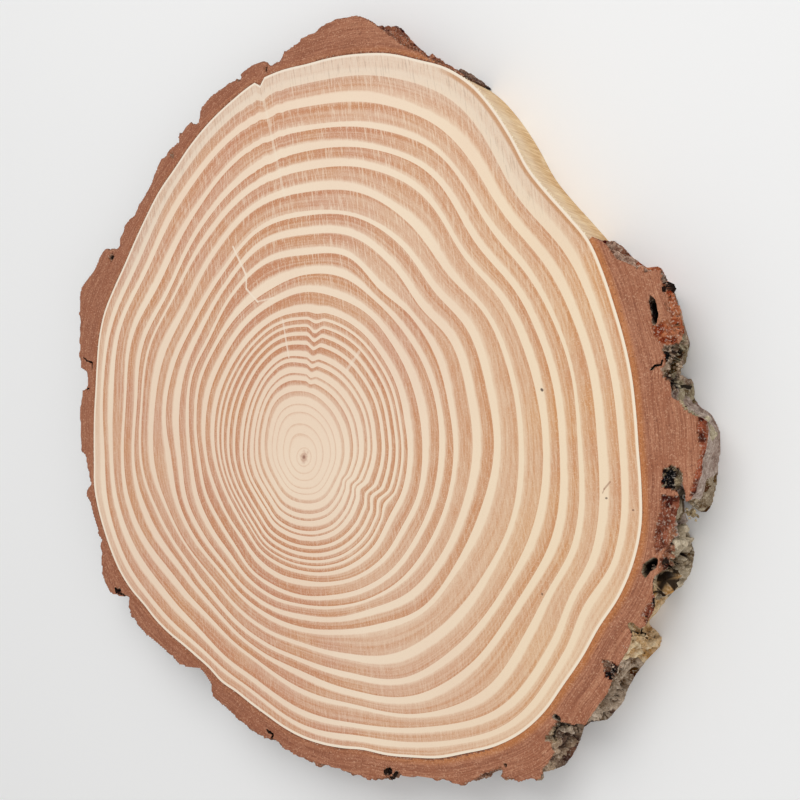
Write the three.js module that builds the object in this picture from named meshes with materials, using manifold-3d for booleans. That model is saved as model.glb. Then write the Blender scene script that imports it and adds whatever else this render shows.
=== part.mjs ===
// A slice sawn across a softwood trunk, with its bark, lying on its back with the sanded face up.
// Millimetres, +Z up, origin on the surface it lies on, under the middle of the slice.
// Bearings are degrees counterclockwise from +X, seen from above, and radii start at the pith.
import * as THREE from 'three';
import Module from 'manifold-3d';

const wasm = await Module();
wasm.setup();

// Driving dimensions
const thickness = 17;
const pith = { x: -14, y: -22.25 };
const seam = 0.3; // clear space between the wood and the bark
const leastBark = 0.7; // the bark is never thinner than this
const sampleStep = 1; // degrees between two points of the wood's outline

// Radius of the wood under the bark, every 5 degrees from bearing 0
const woodSpacing = 5;
const woodRadii = [
  118.3, 118.1, 118.3, 118.4, 118.6, 119.3, 119.9, 118.8, 118.2, 119.1, 122.7, 126.6,
  130.1, 132.0, 132.2, 132.9, 132.7, 132.3, 131.7, 132.1, 131.6, 129.5, 127.2, 124.4,
  121.3, 119.2, 116.4, 114.0, 112.2, 111.5, 110.9, 108.8, 105.9, 103.5, 102.0, 100.8,
  100.1, 100.1, 98.9, 97.3, 95.8, 94.2, 91.9, 89.1, 87.4, 85.5, 83.6, 82.5,
  82.2, 83.2, 83.3, 84.5, 86.1, 88.3, 90.3, 91.9, 93.3, 94.8, 98.1, 101.3,
  105.0, 108.0, 111.6, 114.1, 115.2, 115.2, 115.9, 116.6, 119.0, 120.4, 120.6, 119.4,
];

// A fold in the last rings, where the bark reaches in
const fold = { bearing: 99, depth: 2.2, halfWidth: 1 };

// The bark is gone between its two ends, where the trunk is bare
const barkStart = 62;
const barkEnd = 390;

// Outer edge of the bark on the sanded face, as [bearing, radius], from its start round to its end.
// Two more numbers give the bearing and radius of the same point on the underside.
const barkEdge = [
  // broad plate past the bare stretch
  [61.6, 131.7], [62.5, 132.1], [63.5, 132.4], [65.5, 133.2], [67, 133.5], [68.7, 134.1], [70, 135.2],
  [72.8, 136.3], [74, 137.2], [75, 138.8], [76, 139.5], [77, 140.7], [78, 142], [79, 143.5],
  [80, 144.5], [81, 145.3], [82, 146], [83, 145.6], [85, 145.4], [86.6, 144.7], [88, 143.5],
  [88.3, 142.6], [90, 142], [91, 141.9], [91.4, 140.4], [92.5, 139.8], [93.6, 138.8], [94.2, 139.1],
  [94.7, 136.4], [95, 135.9], [96.8, 135.4],
  // small plates on the upper left
  [97, 137], [98, 138.2], [100, 138.7], [102, 137.8], [102.6, 137.2], [102.6, 135.2], [102.3, 134.2],
  [103.1, 135.3], [103.7, 136.6], [105, 136.2], [108.5, 136.3], [110, 135.2], [111, 134.5],
  [111.8, 132.5], [112.3, 130], [113, 130.5], [113.6, 132.4], [115, 132.1], [117, 130.7],
  [116.9, 128.9], [118, 129], [119, 129.6], [120, 129.2], [120.7, 128.4], [121.5, 129.2],
  [123, 127.9], [124.6, 126.2], [125.4, 124.9], [127, 124.1], [129, 123.2], [131, 122.3],
  [131.8, 121.6], [133, 122.8], [135, 122.9], [135.4, 121.5], [137, 121.5], [138, 119.2],
  // thick plate on the left
  [139.4, 122], [140, 125.2], [141.6, 125.9], [144.3, 125.5], [146, 126.2], [148, 127.8],
  [148.7, 128.1], [150, 127.1], [151, 125.7], [153, 123.5], [153.9, 121.7], [155.2, 120.9],
  [156.5, 119.4], [157.3, 119.5], [158.3, 117.5], [160, 117.3], [160.6, 115.1], [162, 114.8],
  [162.2, 112], [162.2, 110.1], [164, 109.2], [165, 108.6], [165.6, 110.9], [168, 110.5],
  [169.5, 110.9], [172, 109.6], [174, 108.8], [177.9, 107.6], [178.8, 105.2], [181.3, 104.2],
  [182, 103.4], [184, 102.9], [184.6, 101.7],
  // thin plates on the lower left
  [184.9, 103.6], [186, 105], [187, 105.1], [188, 103.4], [190, 102.7], [192, 102.1], [194, 101.1],
  [196, 100.4], [196.7, 99.1], [197.2, 101], [197.8, 101.5], [199.6, 100.9], [199.9, 102],
  [201.7, 103], [202.4, 102.5], [203, 103.9], [205, 103.5], [208, 102.5], [209, 100.6], [210, 98.3],
  [210.7, 96.3], [211.2, 93.6], [211.7, 95], [213, 96.5], [213.8, 96.1], [215.5, 97], [216.8, 95.9],
  [217.3, 96.6], [219, 95.7], [221, 94.8], [223, 93.4], [227, 91.5], [229, 90.5], [232, 90.5],
  [235, 88.1], [236.5, 86.7], [237.2, 85.4], [238.5, 85.3], [240, 85.7], [242.3, 86.9], [243, 88.7],
  [243.8, 90.1], [246.7, 90.2], [250, 91], [255, 92.6], [258, 93.3], [260, 93.8], [260.7, 93.4],
  [261.2, 94], [263, 93.4], [264.3, 94.2], [264.7, 95.3], [267, 95.9], [267.6, 96.6], [272, 97.8],
  [275, 98.7], [278, 99.9], [281, 101.6], [284, 103.6], [286, 104.4], [288, 104.8], [290, 104.9],
  [290.5, 103.4], [290.8, 102.3], [291.1, 105], [292.7, 106.6], [294, 107.1], [296, 108.8],
  [298.2, 111.3], [298.8, 110.9], [300, 113.3], [301.7, 115.5], [305, 116.4], [306, 116],
  [307, 116.9], [309, 117.5], [310.5, 116.7],
  // layered plate over a slit
  [309.8, 118.2], [308.3, 118.7], [308, 120.1], [309, 121.3], [310, 124], [311.5, 125.1],
  [313, 127.3, 313, 126], [314.2, 125.8, 314.6, 125.8], [317, 125.2, 316, 124.6],
  [317.3, 123, 317, 124], [318.2, 121, 318, 123.3], [319.6, 120.8, 319, 122.6],
  [320.4, 122.8, 320.2, 123], [321, 123.3, 321, 124.2], [322.2, 125, 322, 126],
  [322.7, 127, 323, 126.5], [326, 127, 325.6, 127], [328, 127.5, 327.5, 126], [330, 126.8],
  [332, 126.5, 332, 127.6], [335, 127, 334.4, 129], [336.4, 126.2, 335.6, 128.6],
  [336.9, 125, 336.2, 126.6], [337.3, 123.4, 336.4, 124], [337.7, 124.8, 336.9, 123.4],
  [337.4, 126.4, 337.3, 123.6], [337.3, 128.1, 337.8, 124], [338.5, 129.5, 338.6, 125],
  [340.5, 129.8, 340.3, 126], [341.9, 128.8, 341.6, 127.4], [342.6, 127.7, 342.6, 128.9],
  [344, 127.2, 343.4, 129.6],
  // knob beside a deep crack
  [344.8, 128.6, 344.4, 130.3], [345.4, 130, 345.4, 130.4], [347, 130.2, 347.3, 130.2],
  [350, 130, 349.6, 127.6], [352, 130.2, 351.4, 126.2], [353.3, 130.8, 352.4, 125.6],
  [354.3, 130.6, 353.2, 125.2], [354.9, 129.8, 353.8, 124.6], [355.4, 127.6, 354.6, 125],
  [356.4, 126, 355.8, 124.2], [357.4, 124.5, 357, 123.4], [358, 122.9, 357.8, 122.6],
  [358.6, 121.4, 358.6, 122.2], [358.6, 123.8, 358.7, 123.4], [357.9, 126.2, 357.3, 124.8],
  [357.6, 128.8, 356, 126.2], [356.6, 130.5, 354.6, 127.2], [354.9, 131.9, 353.2, 128.2],
  // widest plate, between two cracks
  [353.6, 132.4, 352.2, 130.2], [353.9, 133.8, 352.3, 132], [355, 135, 353.4, 133.6],
  [357, 136.4, 356, 134.1], [358.5, 136.3, 358.4, 134.3], [360, 137.8, 360, 135],
  [362, 138.8, 362, 135.6], [363, 138, 363.2, 134.7], [363.5, 136.5, 364.2, 133.7],
  [364, 133.6, 364.8, 132.4], [365, 132.7, 365.4, 130.6], [365.5, 131, 366.2, 129.8],
  [366.3, 129, 367.2, 128.2], [367.2, 127.9, 367.9, 126.4], [367.2, 126.4, 368.1, 125.6],
  [366.6, 124.6, 368, 124.8], [366.2, 122.7, 367.9, 123.8], [366.6, 121.5, 368.2, 123.3],
  [367.3, 123, 368.8, 123.8], [367.8, 124.7, 369, 124.4], [368.3, 126.5, 369.2, 124.8],
  [368.2, 128.2, 369.3, 125.2], [368.4, 130, 369.6, 125.6], [369, 129.2, 370, 126.2],
  [370.5, 128.6, 370.8, 127.6], [371.4, 129, 371.4, 128.5], [372, 128.1, 371.9, 128.9],
  [372.6, 128.4, 372.3, 129.2],
  // plate with the borer slots, thinning out to the bare stretch
  [372.3, 130, 372.6, 129.5], [371.7, 131.4, 372.8, 129.9], [371.9, 133.4, 373.1, 130.2],
  [372.6, 135.2, 373.6, 130.5], [374, 136.2, 374.6, 130.2], [378, 136.4, 377.6, 130],
  [379, 135.5, 379, 131], [381.4, 135.5, 381, 131.2], [381.8, 133, 382, 130.5],
  [382.2, 130, 383, 130.3], [383, 128.8, 383.8, 130], [384, 127.5, 384.6, 128.8],
  [385.5, 124.6, 385.2, 126.2], [388, 124, 387.4, 124], [389.5, 122.6, 389.8, 122.6],
  [390.3, 121.4, 391.2, 121],
];

// How far the underside's edge stands out past the edge above it elsewhere, as [bearing, offset]
const lean = [
  [60, 0], [75, 0.4], [77.5, 1.4], [80, 2.6], [82, 1.2], [84, 0], [88, -0.8], [96, 0.6], [110, -1],
  [126, 1.2], [139, 0.4], [149, -1.8], [162, 0.8], [175, -1], [190, 0.6], [203, -1], [212, 0.8],
  [222, -0.6], [236, 0.8], [250, -0.8], [264, 0.4], [280, -1], [292, 0.4], [300, -0.4], [400, 0],
];

// Roughness of the bark's outer wall between the faces
const wallLevels = [0, 5.5, 11.5, 17];
const roughness = { size: 0.5, spacing: 2.4 }; // millimetres, degrees

// Cracks and borer slots in the bark: corners as [bearing, radius], depth from each face
const cracks = [
  {
    corners: [[15.4, 127.2], [16.4, 128], [18.4, 128.4], [19.4, 129.4], [18.4, 130.5], [16.4, 130],
      [15.3, 128.6]],
    above: 9,
    below: 0,
  },
  { corners: [[16, 132.3], [17.7, 132.5], [17.6, 133.4], [16.2, 133.1]], above: 5, below: 0 },
  { corners: [[18.6, 133.2], [19.8, 133.3], [19.8, 134.3], [18.7, 134.2]], above: 4, below: 0 },
  {
    corners: [[9.8, 123.6], [10.2, 123.7], [10.7, 126.8], [11.6, 127.4], [11.5, 128.2],
      [10.4, 127.8]],
    above: 7,
    below: 4,
  },
  {
    corners: [[343.4, 124.7], [344, 123.2], [345.2, 123], [346.4, 125.4], [346.5, 127.2],
      [345.3, 127], [344.6, 125.7]],
    above: 10,
    below: 5,
  },
  {
    corners: [[320.1, 117.6], [320.9, 117.5], [321.2, 119.4], [320.8, 121.2], [320.4, 119.6]],
    above: 6,
    below: 4,
  },
  { corners: [[305.6, 113.4], [308.6, 114.8], [308.4, 115.6], [305.8, 114.6]], above: 4, below: 0 },
  { corners: [[288, 102.2], [290.2, 101.9], [290, 103.4], [288.3, 103.6]], above: 6, below: 5 },
  { corners: [[261, 92], [262.8, 92], [262.6, 92.9], [261.2, 92.9]], above: 4, below: 0 },
  { corners: [[207.4, 98.2], [209.6, 95.6], [210, 96.4], [208, 99.4]], above: 5, below: 5 },
  { corners: [[185, 102.1], [186.1, 102.2], [186, 103.2], [185.2, 103.3]], above: 4, below: 0 },
  { corners: [[159.9, 108.4], [160.5, 108.4], [160.9, 111], [160.2, 111.2]], above: 5, below: 4 },
  { corners: [[139.8, 119.2], [140.8, 118.8], [141.4, 120.8], [140.6, 121.6]], above: 7, below: 6 },
  { corners: [[141, 115.6], [141.8, 115.4], [142.8, 118.2], [142, 118.6]], above: 6, below: 0 },
  { corners: [[119, 125.2], [119.7, 125], [119.9, 127.6], [119.3, 128]], above: 5, below: 5 },
  { corners: [[108.2, 133.2], [108.8, 133.2], [108.9, 135], [108.3, 135.2]], above: 4, below: 0 },
  { corners: [[97.3, 133.6], [97.9, 133.5], [98, 135.2], [97.4, 135.3]], above: 4, below: 4 },
  { corners: [[84, 137.6], [87.4, 137.2], [87.2, 138], [84.4, 138.3]], above: 0, below: 6 },
  { corners: [[356, 124.6], [359.6, 124.2], [359.2, 125.4], [356.4, 125.6]], above: 0, below: 7 },
  { corners: [[13.4, 123.4], [18.6, 123], [18.2, 124.2], [14, 124.6]], above: 0, below: 8 },
];
const crackFloor = 0.45; // width of a crack's floor as a share of its mouth
const spare = 1; // cutters pass this far beyond a face

// A slanting gap that shows daylight, from its mouth on the sanded face to its mouth below
const gapThrough = { above: [344.3, 129.6], below: [342.7, 122.4], radius: 1.1, sides: 8 };

const colours = { wood: 0xe3c19c, bark: 0x8f5238 };

// Outlines

function place(bearing, radius) {
  const angle = THREE.MathUtils.degToRad(bearing);
  return new THREE.Vector2(pith.x + radius * Math.cos(angle), pith.y + radius * Math.sin(angle));
}

function woodRadius(bearing) {
  const at = (((bearing % 360) + 360) % 360) / woodSpacing;
  const i = Math.floor(at);
  const t = at - i;
  const [p, q, r, s] = [-1, 0, 1, 2].map((k) => woodRadii.at((i + k) % woodRadii.length));
  const smooth = q + 0.5 * t * (r - p + t * (2 * p - 5 * q + 4 * r - s + t * (3 * (q - r) + s - p)));
  const intoFold = Math.max(0, 1 - Math.abs(bearing - fold.bearing) / fold.halfWidth);
  return smooth - fold.depth * intoFold;
}

function between(pairs, bearing) {
  const next = Math.max(1, pairs.findIndex(([b]) => b >= bearing));
  const [[b0, v0], [b1, v1]] = [pairs[next - 1], pairs[next]];
  return THREE.MathUtils.lerp(v0, v1, THREE.MathUtils.clamp((bearing - b0) / (b1 - b0), 0, 1));
}

// Smooth seeded values from -1 to 1 along a line
function waver(position, seed) {
  const value = (cell) => {
    const spread = Math.sin((cell + 57 * seed) * 127.1) * 43758.5453;
    return 2 * (spread - Math.floor(spread)) - 1;
  };
  const cell = Math.floor(position);
  const share = THREE.MathUtils.smoothstep(position - cell, 0, 1);
  return THREE.MathUtils.lerp(value(cell), value(cell + 1), share);
}

// Solids

// A closed solid through outlines at rising heights, each with the same number of points
function stack(levels) {
  const count = levels[0].outline.length;
  const positions = levels.flatMap(({ z, outline }) => outline.flatMap((p) => [p.x, p.y, z]));
  const faces = [];
  for (let level = 0; level < levels.length - 1; level++) {
    for (let i = 0; i < count; i++) {
      const a = level * count + i;
      const b = level * count + ((i + 1) % count);
      faces.push(a, b, b + count, a, b + count, a + count);
    }
  }
  const top = (levels.length - 1) * count;
  for (const [a, b, c] of THREE.ShapeUtils.triangulateShape(levels[0].outline, [])) {
    faces.push(c, b, a);
  }
  for (const [a, b, c] of THREE.ShapeUtils.triangulateShape(levels.at(-1).outline, [])) {
    faces.push(top + a, top + b, top + c);
  }
  const geometry = new THREE.BufferGeometry();
  geometry.setAttribute('position', new THREE.Float32BufferAttribute(positions, 3));
  geometry.setIndex(faces);
  return geometry;
}

function solid(geometry) {
  return new wasm.Manifold(new wasm.Mesh({
    numProp: 3,
    vertProperties: new Float32Array(geometry.attributes.position.array),
    triVerts: new Uint32Array(geometry.index.array),
  }));
}

function geometryOf(body) {
  const { vertProperties, triVerts } = body.getMesh();
  const geometry = new THREE.BufferGeometry();
  geometry.setAttribute('position', new THREE.BufferAttribute(new Float32Array(vertProperties), 3));
  geometry.setIndex(new THREE.BufferAttribute(new Uint32Array(triVerts), 1));
  return geometry;
}

// The heartwood and sapwood: one disc to the edge of the last ring
function woodDisc() {
  const outline = [];
  for (let bearing = 0; bearing < 360; bearing += sampleStep) {
    outline.push(place(bearing, woodRadius(bearing)));
  }
  return stack([{ z: 0, outline }, { z: thickness, outline }]);
}

// The bark's outline at a height: its rough edge outwards, then back along the wood
function barkOutline(z) {
  const depth = 1 - z / thickness;
  const rough = z === thickness ? 0 : roughness.size;
  const edge = barkEdge.map(([bearing, radius, lowBearing = bearing, lowRadius]) => {
    const below = lowRadius ?? radius + between(lean, bearing);
    const at = THREE.MathUtils.lerp(bearing, lowBearing, depth);
    const wave = rough * waver(bearing / roughness.spacing, z);
    const least = woodRadius(at) + seam + leastBark;
    return place(at, Math.max(least, THREE.MathUtils.lerp(radius, below, depth) + wave));
  });
  const inner = [];
  for (let bearing = barkEnd; bearing >= barkStart; bearing -= sampleStep) {
    inner.push(place(bearing, woodRadius(bearing) + seam));
  }
  return edge.concat(inner);
}

// A cutter that narrows from a mouth beyond one face to a floor inside the bark
function crackCutter(corners, depth, fromAbove) {
  const mouth = corners.map(([bearing, radius]) => place(bearing, radius));
  if (THREE.ShapeUtils.isClockWise(mouth)) mouth.reverse();
  const middle = mouth.reduce((sum, p) => sum.add(p), new THREE.Vector2()).divideScalar(mouth.length);
  const floor = mouth.map((p) => middle.clone().lerp(p, crackFloor));
  return solid(fromAbove
    ? stack([{ z: thickness - depth, outline: floor }, { z: thickness + spare, outline: mouth }])
    : stack([{ z: -spare, outline: mouth }, { z: depth, outline: floor }]));
}

function gapCutter({ above, below, radius, sides }) {
  const [top, bottom] = [place(...above), place(...below)];
  const ring = (z) => {
    const middle = bottom.clone().lerp(top, z / thickness);
    return Array.from({ length: sides }, (_, i) => {
      const angle = (2 * Math.PI * i) / sides;
      return new THREE.Vector2(radius * Math.cos(angle), radius * Math.sin(angle)).add(middle);
    });
  };
  return solid(stack([-spare, thickness + spare].map((z) => ({ z, outline: ring(z) }))));
}

function barkRing() {
  let body = solid(stack(wallLevels.map((z) => ({ z, outline: barkOutline(z) }))));
  for (const { corners, above, below } of cracks) {
    if (above) body = body.subtract(crackCutter(corners, above, true));
    if (below) body = body.subtract(crackCutter(corners, below, false));
  }
  return geometryOf(body.subtract(gapCutter(gapThrough)));
}

function piece(name, geometry, roughnessValue) {
  const material = new THREE.MeshStandardMaterial({
    color: colours[name],
    roughness: roughnessValue,
    metalness: 0,
  });
  const mesh = new THREE.Mesh(geometry, material);
  mesh.name = name;
  return mesh;
}

const slice = new THREE.Group();
slice.add(piece('wood', woodDisc(), 0.6));
slice.add(piece('bark', barkRing(), 0.85));

export default slice;
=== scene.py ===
import math

import bmesh
import bpy
import numpy as np
from mathutils import Matrix, Vector, noise
from mathutils.bvhtree import BVHTree
from mathutils.kdtree import KDTree


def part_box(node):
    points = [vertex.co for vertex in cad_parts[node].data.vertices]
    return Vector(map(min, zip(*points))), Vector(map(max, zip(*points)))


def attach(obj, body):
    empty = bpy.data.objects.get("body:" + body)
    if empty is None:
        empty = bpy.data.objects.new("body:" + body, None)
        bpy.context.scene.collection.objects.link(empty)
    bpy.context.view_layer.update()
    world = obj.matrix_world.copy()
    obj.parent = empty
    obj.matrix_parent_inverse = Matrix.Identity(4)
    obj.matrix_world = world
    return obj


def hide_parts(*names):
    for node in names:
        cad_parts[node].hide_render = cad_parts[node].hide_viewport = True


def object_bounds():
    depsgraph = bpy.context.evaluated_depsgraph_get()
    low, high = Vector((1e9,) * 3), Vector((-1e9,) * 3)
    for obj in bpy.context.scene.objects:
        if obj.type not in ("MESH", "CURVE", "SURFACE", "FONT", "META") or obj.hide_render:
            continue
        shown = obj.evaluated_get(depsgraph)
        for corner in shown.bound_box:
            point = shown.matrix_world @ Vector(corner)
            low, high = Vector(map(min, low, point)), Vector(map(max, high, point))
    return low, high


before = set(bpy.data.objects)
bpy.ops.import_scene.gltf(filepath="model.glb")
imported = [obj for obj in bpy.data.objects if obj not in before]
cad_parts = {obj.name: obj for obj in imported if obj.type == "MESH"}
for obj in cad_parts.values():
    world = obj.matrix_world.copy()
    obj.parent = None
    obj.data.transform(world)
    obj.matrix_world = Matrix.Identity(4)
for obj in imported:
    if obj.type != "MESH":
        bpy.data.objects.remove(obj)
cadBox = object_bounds()
bpy.ops.object.select_all(action="DESELECT")
scene = bpy.context.scene
mm = 0.001
pith = (-14.0, -22.25)
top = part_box("wood")[1].z / mm


# Shared helpers

def srgb(red, green, blue):
    def linear(value):
        value /= 255
        return value / 12.92 if value <= 0.04045 else ((value + 0.055) / 1.055) ** 2.4
    return (linear(red), linear(green), linear(blue), 1)


def smooth(low, high, value):
    share = np.clip((value - low) / (high - low), 0, 1)
    return share * share * (3 - 2 * share)


def closedCurve(values, bearings):
    # a smooth closed curve through values spaced evenly round the pith
    values = np.asarray(values, float)
    at = np.mod(bearings, 360) * len(values) / 360
    cell = np.floor(at).astype(int)
    t = at - cell
    p, q, r, s = (values[(cell + k) % len(values)] for k in (-1, 0, 1, 2))
    return q + 0.5 * t * (r - p + t * (2 * p - 5 * q + 4 * r - s + t * (3 * (q - r) + s - p)))


def polar(points):
    away = points[:, :2] - pith
    return np.degrees(np.arctan2(away[:, 1], away[:, 0])) % 360, np.hypot(away[:, 0], away[:, 1])


def meshPoints(mesh):
    flat = np.empty(len(mesh.vertices) * 3)
    mesh.vertices.foreach_get("co", flat)
    return flat.reshape(-1, 3) / mm


def setPoints(mesh, points):
    mesh.vertices.foreach_set("co", (points * mm).ravel())
    mesh.update()


def setAttribute(mesh, name, values):
    layer = mesh.attributes.new(name, "FLOAT", "POINT")
    layer.data.foreach_set("value", np.asarray(values, np.float32))


def makeActive(piece):
    bpy.ops.object.select_all(action="DESELECT")
    piece.select_set(True)
    bpy.context.view_layer.objects.active = piece


def applyModifier(piece, name, kind, **settings):
    modifier = piece.modifiers.new(name, kind)
    for key, value in settings.items():
        setattr(modifier, key, value)
    bpy.ops.object.modifier_apply(modifier=name)


def finishPiece(piece, slot, *nodes):
    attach(piece, "root")
    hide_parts(*nodes)


# Shader building: a Flow is one socket of a finish, and sums on it add Math nodes

class Flow:
    def __init__(self, finish, socket):
        self.finish = finish
        self.socket = socket

    def __add__(self, other):
        return self.finish.maths("ADD", self, other)

    def __radd__(self, other):
        return self.finish.maths("ADD", other, self)

    def __sub__(self, other):
        return self.finish.maths("SUBTRACT", self, other)

    def __rsub__(self, other):
        return self.finish.maths("SUBTRACT", other, self)

    def __mul__(self, other):
        return self.finish.maths("MULTIPLY", self, other)

    def __rmul__(self, other):
        return self.finish.maths("MULTIPLY", other, self)

    def __truediv__(self, other):
        return self.finish.maths("DIVIDE", self, other)


class Finish:
    def __init__(self, name):
        self.material = bpy.data.materials.new(name)
        self.material.use_nodes = True
        self.tree = self.material.node_tree
        self.tree.nodes.clear()

    def node(self, kind, settings=None, sockets=None, result=0):
        made = self.tree.nodes.new(kind)
        for key, value in (settings or {}).items():
            if key == "stops":
                ramp = made.color_ramp.elements
                while len(ramp) < len(value):
                    ramp.new(0.5)
                for element, (place, colour) in zip(ramp, value):
                    element.position = place
                    element.color = colour
            else:
                setattr(made, key, value)
        for key, value in (sockets or {}).items():
            if isinstance(value, Flow):
                self.tree.links.new(value.socket, made.inputs[key])
            else:
                made.inputs[key].default_value = value
        return Flow(self, made.outputs[result]) if made.outputs else None

    def maths(self, operation, *values, clamp=False):
        return self.node("ShaderNodeMath", {"operation": operation, "use_clamp": clamp}, dict(enumerate(values)))

    def step(self, low, high, value, start=0.0, end=1.0):
        # rises smoothly from start to end between low and high
        sockets = {"Value": value, "From Min": low, "From Max": high, "To Min": start, "To Max": end}
        return self.node("ShaderNodeMapRange", {"interpolation_type": "SMOOTHSTEP"}, sockets)

    def attribute(self, name):
        return self.node("ShaderNodeAttribute", {"attribute_name": name}, result=2)

    def vector(self, operation, first, second):
        return self.node("ShaderNodeVectorMath", {"operation": operation}, {0: first, 1: second})

    def place(self):
        # object coordinates in millimetres
        here = self.node("ShaderNodeTexCoord", result=3)
        return self.vector("MULTIPLY", here, (1 / mm, 1 / mm, 1 / mm))

    def turned(self, place, centre, turn, scale):
        # place measured from centre, turned about Z and stretched
        settings = {"vector_type": "TEXTURE"}
        shifted = self.vector("SUBTRACT", place, centre)
        sockets = {"Vector": shifted, "Rotation": (0, 0, math.radians(turn))}
        turnedPlace = self.node("ShaderNodeMapping", settings, sockets)
        return self.vector("MULTIPLY", turnedPlace, scale)

    def noise(self, place, scale=1.0, detail=2.0, rough=0.5, twist=0.0):
        sockets = {"Vector": place, "Scale": scale, "Detail": detail, "Roughness": rough, "Distortion": twist}
        return self.node("ShaderNodeTexNoise", {}, sockets)

    def mix(self, share, first, second, blend="MIX"):
        settings = {"data_type": "RGBA", "blend_type": blend}
        return self.node("ShaderNodeMix", settings, {0: share, 6: first, 7: second}, 2)

    def separate(self, vector):
        return [self.node("ShaderNodeSeparateXYZ", {}, {0: vector}, k) for k in range(3)]

    def combine(self, x, y, z):
        return self.node("ShaderNodeCombineXYZ", {}, {0: x, 1: y, 2: z})

    def surface(self, colour, roughness, height=None, depth=0.0, **fixed):
        sockets = {"Base Color": colour, "Roughness": roughness, **fixed}
        if height is not None:
            sockets["Normal"] = self.node("ShaderNodeBump", {}, {"Height": height, "Distance": depth * mm})
        shader = self.node("ShaderNodeBsdfPrincipled", {}, sockets)
        self.node("ShaderNodeOutputMaterial", {}, {"Surface": shader})
        return self.material


# Camera, floor and light

view = {
    "place": (253.3, -36.25, 347.0),
    "aim": (24.29, -5.19, 17.0),
    "lens": 58.185,
}
studio = {
    "floorSize": 6.0,
    "floorDrop": 0.05,
    "floor": (0.93, 0.93, 0.925, 1),
    "world": 0.56,
    "key": {"place": (0.1, 0.6, 0.85), "size": 0.8, "power": 4.2},
    "fill": {"place": (0.9, -0.3, 0.55), "size": 1.0, "power": 2.2},
}


def makeCamera():
    camera = bpy.data.objects.new("camera", bpy.data.cameras.new("camera"))
    scene.collection.objects.link(camera)
    scene.camera = camera
    place = Vector(view["place"]) * mm
    back = (place - Vector(view["aim"]) * mm).normalized()
    right = Vector((back.z, 0, -back.x)).normalized()
    turn = Matrix((right, back.cross(right), back)).transposed().to_4x4()
    camera.matrix_world = Matrix.Translation(place) @ turn
    camera.data.sensor_width = 36
    camera.data.lens = view["lens"]
    camera.data.clip_start = 0.01
    camera.data.clip_end = 20


def makeStudio():
    bpy.ops.mesh.primitive_plane_add(size=studio["floorSize"], location=(0, 0, -studio["floorDrop"] * mm))
    floor = bpy.context.active_object
    floor.name = "floor"
    finish = Finish("floor")
    floor.data.materials.append(finish.surface(studio["floor"], 0.8))
    scene.world = bpy.data.worlds.new("studio")
    scene.world.use_nodes = True
    background = scene.world.node_tree.nodes["Background"]
    background.inputs[0].default_value = (1, 1, 1, 1)
    background.inputs[1].default_value = studio["world"]
    for name in ("key", "fill"):
        lamp = bpy.data.lights.new(name, "AREA")
        lamp.energy = studio[name]["power"]
        lamp.size = studio[name]["size"]
        holder = bpy.data.objects.new(name, lamp)
        scene.collection.objects.link(holder)
        holder.location = studio[name]["place"]
        holder.rotation_euler = (-holder.location).to_track_quat("-Z", "Y").to_euler()
    scene.view_settings.view_transform = "Standard"


# The edge of the last ring, from the frame, and the growth rings inside it

def readRim():
    points = meshPoints(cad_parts["wood"].data)
    bearings, radii = polar(points[points[:, 2] > top / 2])
    order = np.argsort(bearings)
    return bearings[order], radii[order]


rimBearings, rimRadii = readRim()


def rimRadius(bearings):
    return np.interp(bearings, rimBearings, rimRadii, period=360)


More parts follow.
